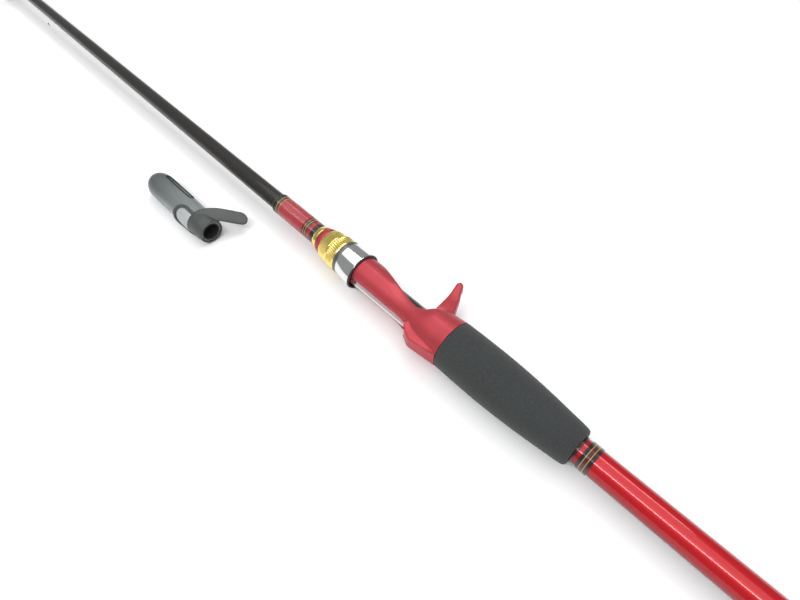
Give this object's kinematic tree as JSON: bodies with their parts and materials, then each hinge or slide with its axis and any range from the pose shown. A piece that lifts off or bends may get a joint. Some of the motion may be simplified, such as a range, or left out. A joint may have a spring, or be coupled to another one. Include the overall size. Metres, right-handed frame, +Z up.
{
  "type": "telescopic casting rod",
  "caption": "Telescopic trigger casting rod with a foam grip, a screw-locked reel seat, guides, and a loose smoky tip cover beside it; no reel.",
  "frame": {"origin": "centre of the butt face, on the rod's axis", "axes": "+X along the rod from the butt to the tip, +Y to the reel and guide side, +Z up with the rod lying on its side"},
  "size_m": [1.8326, 0.0955, 0.0326],
  "materials": {
    "carbon_black": "clear-coated carbon fibre blank",
    "candy_red": "glossy candy red lacquer",
    "satin_red": "satin metallic red moulding",
    "grip_foam": "matte closed-cell foam",
    "thread_black": "varnished black thread",
    "thread_maroon": "varnished thread in dark red, black and gold bands",
    "thread_red": "varnished red thread",
    "saddle_gloss": "glossy inlay",
    "black_plastic": "black moulding",
    "bright_metal": "bright silver plating",
    "grey_metal": "dark grey satin",
    "gold_metal": "pale gold anodised",
    "bush_grey": "hidden packing under the reel seat",
    "rubber_black": "matte rubber",
    "guide_steel": "dark smoked steel",
    "guide_ceramic": "polished dark ceramic",
    "smoke_plastic": "smoky translucent moulding",
    "strap_rubber": "dark grey rubber strap"
  },
  "bodies": {
    "handle": {"handle_blank": "carbon_black", "butt_sleeve": "candy_red", "rear_grip": "grip_foam", "rear_edge_wrap": "thread_black", "rear_band_wrap": "thread_maroon", "fore_band_wrap": "thread_maroon", "keeper_wrap": "thread_red", "mouth_band_wrap": "thread_black", "mouth_ring": "grey_metal", "hook_keeper": "bright_metal", "butt_bush": "black_plastic", "reel_seat": "satin_red", "foot_saddle": "saddle_gloss", "rear_bush": "bush_grey", "front_bush": "bush_grey", "seat_collar": "satin_red", "seat_end_ring": "gold_metal"},
    "hood": {"movable_hood": "black_plastic", "hood_cover": "bright_metal", "hood_washer": "grey_metal"},
    "nut": {"nut_core": "black_plastic", "hood_nut": "gold_metal"},
    "butt_seal": {"butt_o_ring": "rubber_black"},
    "butt_cap": {"butt_cap": "grey_metal", "butt_pad": "rubber_black"},
    "section_2": {"section_2": "carbon_black", "guide_1_frame": "guide_steel", "guide_1_ring": "guide_ceramic", "guide_1_wrap": "thread_red"},
    "section_3": {"section_3": "carbon_black", "guide_2_frame": "guide_steel", "guide_2_ring": "guide_ceramic", "guide_2_wrap": "thread_red"},
    "section_4": {"section_4": "carbon_black", "guide_3_frame": "guide_steel", "guide_3_ring": "guide_ceramic", "guide_3_wrap": "thread_red"},
    "section_5": {"section_5": "carbon_black", "tip_top_frame": "guide_steel", "tip_top_ring": "guide_ceramic"},
    "float_guide_1": {"float_guide_1_frame": "guide_steel", "float_guide_1_ring": "guide_ceramic"},
    "float_guide_2": {"float_guide_2_frame": "guide_steel", "float_guide_2_ring": "guide_ceramic"},
    "tip_cover": {"tip_cover_shell": "smoke_plastic", "tip_cover_strap": "strap_rubber"}
  },
  "joints": [
    {"name": "hood_slide", "type": "slide", "parent": "handle", "child": "hood", "axis": [-1, 0, 0], "range_m": [0, 0.0101]},
    {"name": "nut_spin", "type": "hinge", "parent": "hood", "child": "nut", "pos_m": [0.4195, 0, 0], "axis": [-1, 0, 0], "range_deg": [0, 1800]},
    {"name": "butt_seal_slide", "type": "slide", "parent": "handle", "child": "butt_seal", "axis": [-1, 0, 0], "range_m": [0, 0.0076]},
    {"name": "cap_spin", "type": "hinge", "parent": "butt_seal", "child": "butt_cap", "pos_m": [0.006, 0, 0], "axis": [-1, 0, 0], "range_deg": [0, 2160]},
    {"name": "section_2_slide", "type": "slide", "parent": "handle", "child": "section_2", "axis": [1, 0, 0], "range_m": [-0.408, 0]},
    {"name": "section_3_slide", "type": "slide", "parent": "section_2", "child": "section_3", "axis": [1, 0, 0], "range_m": [-0.321, 0]},
    {"name": "section_4_slide", "type": "slide", "parent": "section_3", "child": "section_4", "axis": [1, 0, 0], "range_m": [-0.275, 0]},
    {"name": "section_5_slide", "type": "slide", "parent": "section_4", "child": "section_5", "axis": [1, 0, 0], "range_m": [-0.229, 0]},
    {"name": "float_guide_1_slide", "type": "slide", "parent": "section_3", "child": "float_guide_1", "axis": [1, 0, 0], "range_m": [0, 0.134]},
    {"name": "float_guide_2_slide", "type": "slide", "parent": "section_4", "child": "float_guide_2", "axis": [1, 0, 0], "range_m": [0, 0.1205]},
    {"name": "tip_cover_slide", "type": "slide", "parent": "handle", "child": "tip_cover", "axis": [1, 0, 0], "range_m": [0, 0.06]}
  ],
  "couplings": [
    {"joint": "hood_slide", "follows": "nut_spin", "m_per_rad": 0.00031831},
    {"joint": "butt_seal_slide", "follows": "cap_spin", "m_per_rad": 0.00019894},
    {"joint": "float_guide_1_slide", "follows": "section_3_slide", "ratio": -0.41589},
    {"joint": "float_guide_2_slide", "follows": "section_4_slide", "ratio": -0.43636}
  ]
}
